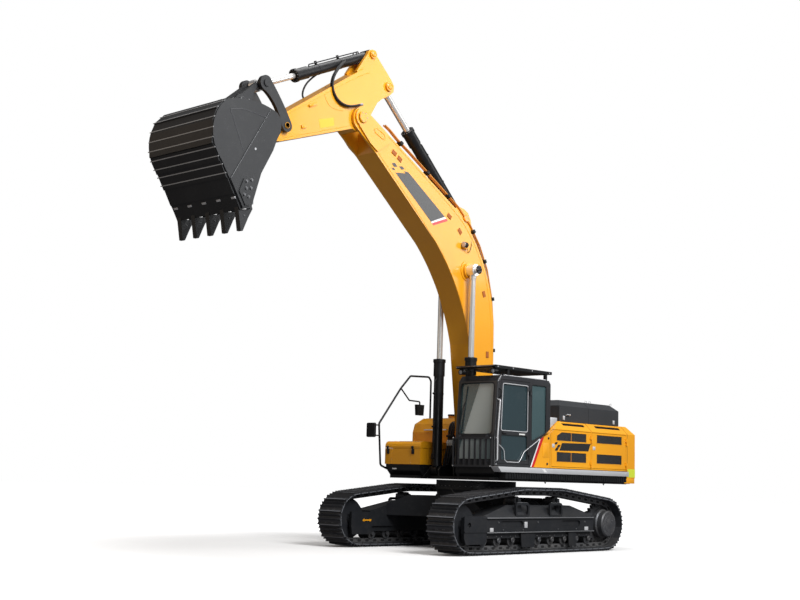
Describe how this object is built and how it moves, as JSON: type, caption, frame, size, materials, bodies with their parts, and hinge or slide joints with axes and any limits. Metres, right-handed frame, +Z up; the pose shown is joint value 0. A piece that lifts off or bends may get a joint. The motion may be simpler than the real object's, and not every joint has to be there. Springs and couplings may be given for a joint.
{
  "type": "crawler excavator",
  "caption": "Crawler excavator with a raised gooseneck boom, arm and half-curled bucket, glazed cab with roof guard, engine hood and lugged tracks.",
  "frame": {"origin": "on the ground, below the middle of the whole machine's box", "axes": "+X to the front, where the bucket reaches; +Y to the driver's left; +Z up"},
  "size_m": [11.3098, 3.34, 9.1579],
  "materials": {
    "yellow_paint": "gloss",
    "black_paint": "satin",
    "dark_grey_paint": "satin",
    "track_steel": "worn",
    "grey_steel": "satin",
    "chrome_rod": "polished",
    "tinted_glass": "clear",
    "seat_fabric": "woven",
    "console_plastic": "matte",
    "silver_paint": "satin"
  },
  "bodies": {
    "undercarriage": {"car_body": "black_paint", "slew_ring": "black_paint", "track_frame_left": "black_paint", "track_frame_right": "black_paint", "track_left": "track_steel", "track_right": "track_steel", "idler_left": "grey_steel", "idler_right": "grey_steel", "sprocket_left": "grey_steel", "sprocket_right": "grey_steel", "rollers_left": "grey_steel", "rollers_right": "grey_steel"},
    "upper": {"deck": "black_paint", "counterweight": "yellow_paint", "hood_shell": "yellow_paint", "engine_block": "grey_steel", "fuel_tank": "yellow_paint", "toolbox": "yellow_paint", "catwalk_left": "black_paint", "catwalk_right": "black_paint", "cab_frame": "black_paint", "cab_glass": "tinted_glass", "roof_guard": "black_paint", "front_guard": "black_paint", "operator_seat": "seat_fabric", "operator_consoles": "console_plastic", "handrail": "black_paint", "mirrors": "black_paint"},
    "cab_door": {"cab_door": "black_paint", "door_glass": "tinted_glass"},
    "hood_door_left_front": {"hood_door_left_front": "yellow_paint"},
    "hood_door_left_rear": {"hood_door_left_rear": "yellow_paint"},
    "hood_door_right": {"hood_door_right": "yellow_paint"},
    "engine_cover": {"engine_cover": "black_paint"},
    "toolbox_lid": {"toolbox_lid": "yellow_paint"},
    "boom": {"boom": "yellow_paint"},
    "boom_barrels": {"boom_cylinder_barrels": "black_paint"},
    "boom_rods": {"boom_cylinder_rods": "chrome_rod"},
    "arm": {"arm": "yellow_paint"},
    "arm_barrel": {"arm_cylinder_barrel": "black_paint"},
    "arm_rod": {"arm_cylinder_rod": "chrome_rod"},
    "bucket_barrel": {"bucket_cylinder_barrel": "black_paint"},
    "bucket_rod": {"bucket_cylinder_rod": "chrome_rod"},
    "side_links": {"side_links": "dark_grey_paint"},
    "power_link": {"power_link": "dark_grey_paint"},
    "bucket": {"bucket": "dark_grey_paint", "bucket_teeth": "dark_grey_paint"}
  },
  "joints": [
    {"name": "swing", "type": "hinge", "parent": "undercarriage", "child": "upper", "pos_m": [-2.015, 0, 1.2], "axis": [0, 0, 1], "continuous": true},
    {"name": "boom_lift", "type": "hinge", "parent": "upper", "child": "boom", "pos_m": [-1.915, 0, 2.1], "axis": [0, -1, 0], "range_deg": [-94, 4]},
    {"name": "boom_cylinder_tilt", "type": "hinge", "parent": "upper", "child": "boom_barrels", "pos_m": [-1.27, 0, 1.49], "axis": [0, -1, 0], "range_deg": [-91.4, 4.85]},
    {"name": "boom_cylinder_stroke", "type": "slide", "parent": "boom_barrels", "child": "boom_rods", "axis": [-0.0051, 0, 1], "range_m": [-1.331, 0.0662]},
    {"name": "arm_swing", "type": "hinge", "parent": "boom", "child": "arm", "pos_m": [1.815, 0, 7.76], "axis": [0, 1, 0], "range_deg": [-28, 76]},
    {"name": "arm_cylinder_tilt", "type": "hinge", "parent": "boom", "child": "arm_barrel", "pos_m": [-1.295, 0, 6.44], "axis": [0, 1, 0], "range_deg": [-3.8, 8.6]},
    {"name": "arm_cylinder_stroke", "type": "slide", "parent": "arm_barrel", "child": "arm_rod", "axis": [0.7412, 0, 0.6712], "range_m": [-0.4889, 1.3099]},
    {"name": "bucket_curl", "type": "hinge", "parent": "arm", "child": "bucket", "pos_m": [4.205, 0, 7], "axis": [0, -1, 0], "range_deg": [-80, 76]},
    {"name": "side_link_swing", "type": "hinge", "parent": "arm", "child": "side_links", "pos_m": [3.635, 0, 7.19], "axis": [0, -1, 0], "range_deg": [-41, 39]},
    {"name": "power_link_swing", "type": "hinge", "parent": "bucket", "child": "power_link", "pos_m": [4.645, 0, 7.36], "axis": [0, -1, 0], "range_deg": [-55.34, 58.2]},
    {"name": "bucket_cylinder_tilt", "type": "hinge", "parent": "arm", "child": "bucket_barrel", "pos_m": [1.485, 0, 9.05], "axis": [0, -1, 0], "range_deg": [-3.4, 3.28]},
    {"name": "bucket_cylinder_stroke", "type": "slide", "parent": "bucket_barrel", "child": "bucket_rod", "axis": [0.9057, 0, -0.4238], "range_m": [-0.6085, 0.64]},
    {"name": "cab_door_hinge", "type": "hinge", "parent": "upper", "child": "cab_door", "pos_m": [-1.73, 1.51, 2.45], "axis": [0, 0, 1], "range_deg": [0, 165]},
    {"name": "hood_door_left_front_hinge", "type": "hinge", "parent": "upper", "child": "hood_door_left_front", "pos_m": [-3.815, 1.51, 1.97], "axis": [0, 0, 1], "range_deg": [0, 110]},
    {"name": "hood_door_left_rear_hinge", "type": "hinge", "parent": "upper", "child": "hood_door_left_rear", "pos_m": [-5.115, 1.51, 1.97], "axis": [0, 0, 1], "range_deg": [0, 110]},
    {"name": "hood_door_right_hinge", "type": "hinge", "parent": "upper", "child": "hood_door_right", "pos_m": [-5.115, -1.51, 1.97], "axis": [0, 0, -1], "range_deg": [0, 110]},
    {"name": "engine_cover_hinge", "type": "hinge", "parent": "upper", "child": "engine_cover", "pos_m": [-2.945, 0.27, 2.575], "axis": [0, 1, 0], "range_deg": [0, 70]},
    {"name": "toolbox_lid_hinge", "type": "hinge", "parent": "upper", "child": "toolbox_lid", "pos_m": [-1.735, -1.025, 2.059], "axis": [0, -1, 0], "range_deg": [0, 85]}
  ],
  "couplings": [
    {"joint": "boom_cylinder_tilt", "follows": "boom_lift", "ratio": 0.9617},
    {"joint": "boom_cylinder_stroke", "follows": "boom_lift", "m_per_rad": 0.8052},
    {"joint": "arm_cylinder_tilt", "follows": "arm_swing", "ratio": 0.1},
    {"joint": "arm_cylinder_stroke", "follows": "arm_swing", "m_per_rad": 0.98},
    {"joint": "side_link_swing", "follows": "bucket_curl", "ratio": 0.5},
    {"joint": "power_link_swing", "follows": "bucket_curl", "ratio": -0.715},
    {"joint": "bucket_cylinder_tilt", "follows": "bucket_curl", "ratio": 0.03},
    {"joint": "bucket_cylinder_stroke", "follows": "bucket_curl", "m_per_rad": -0.4512}
  ]
}
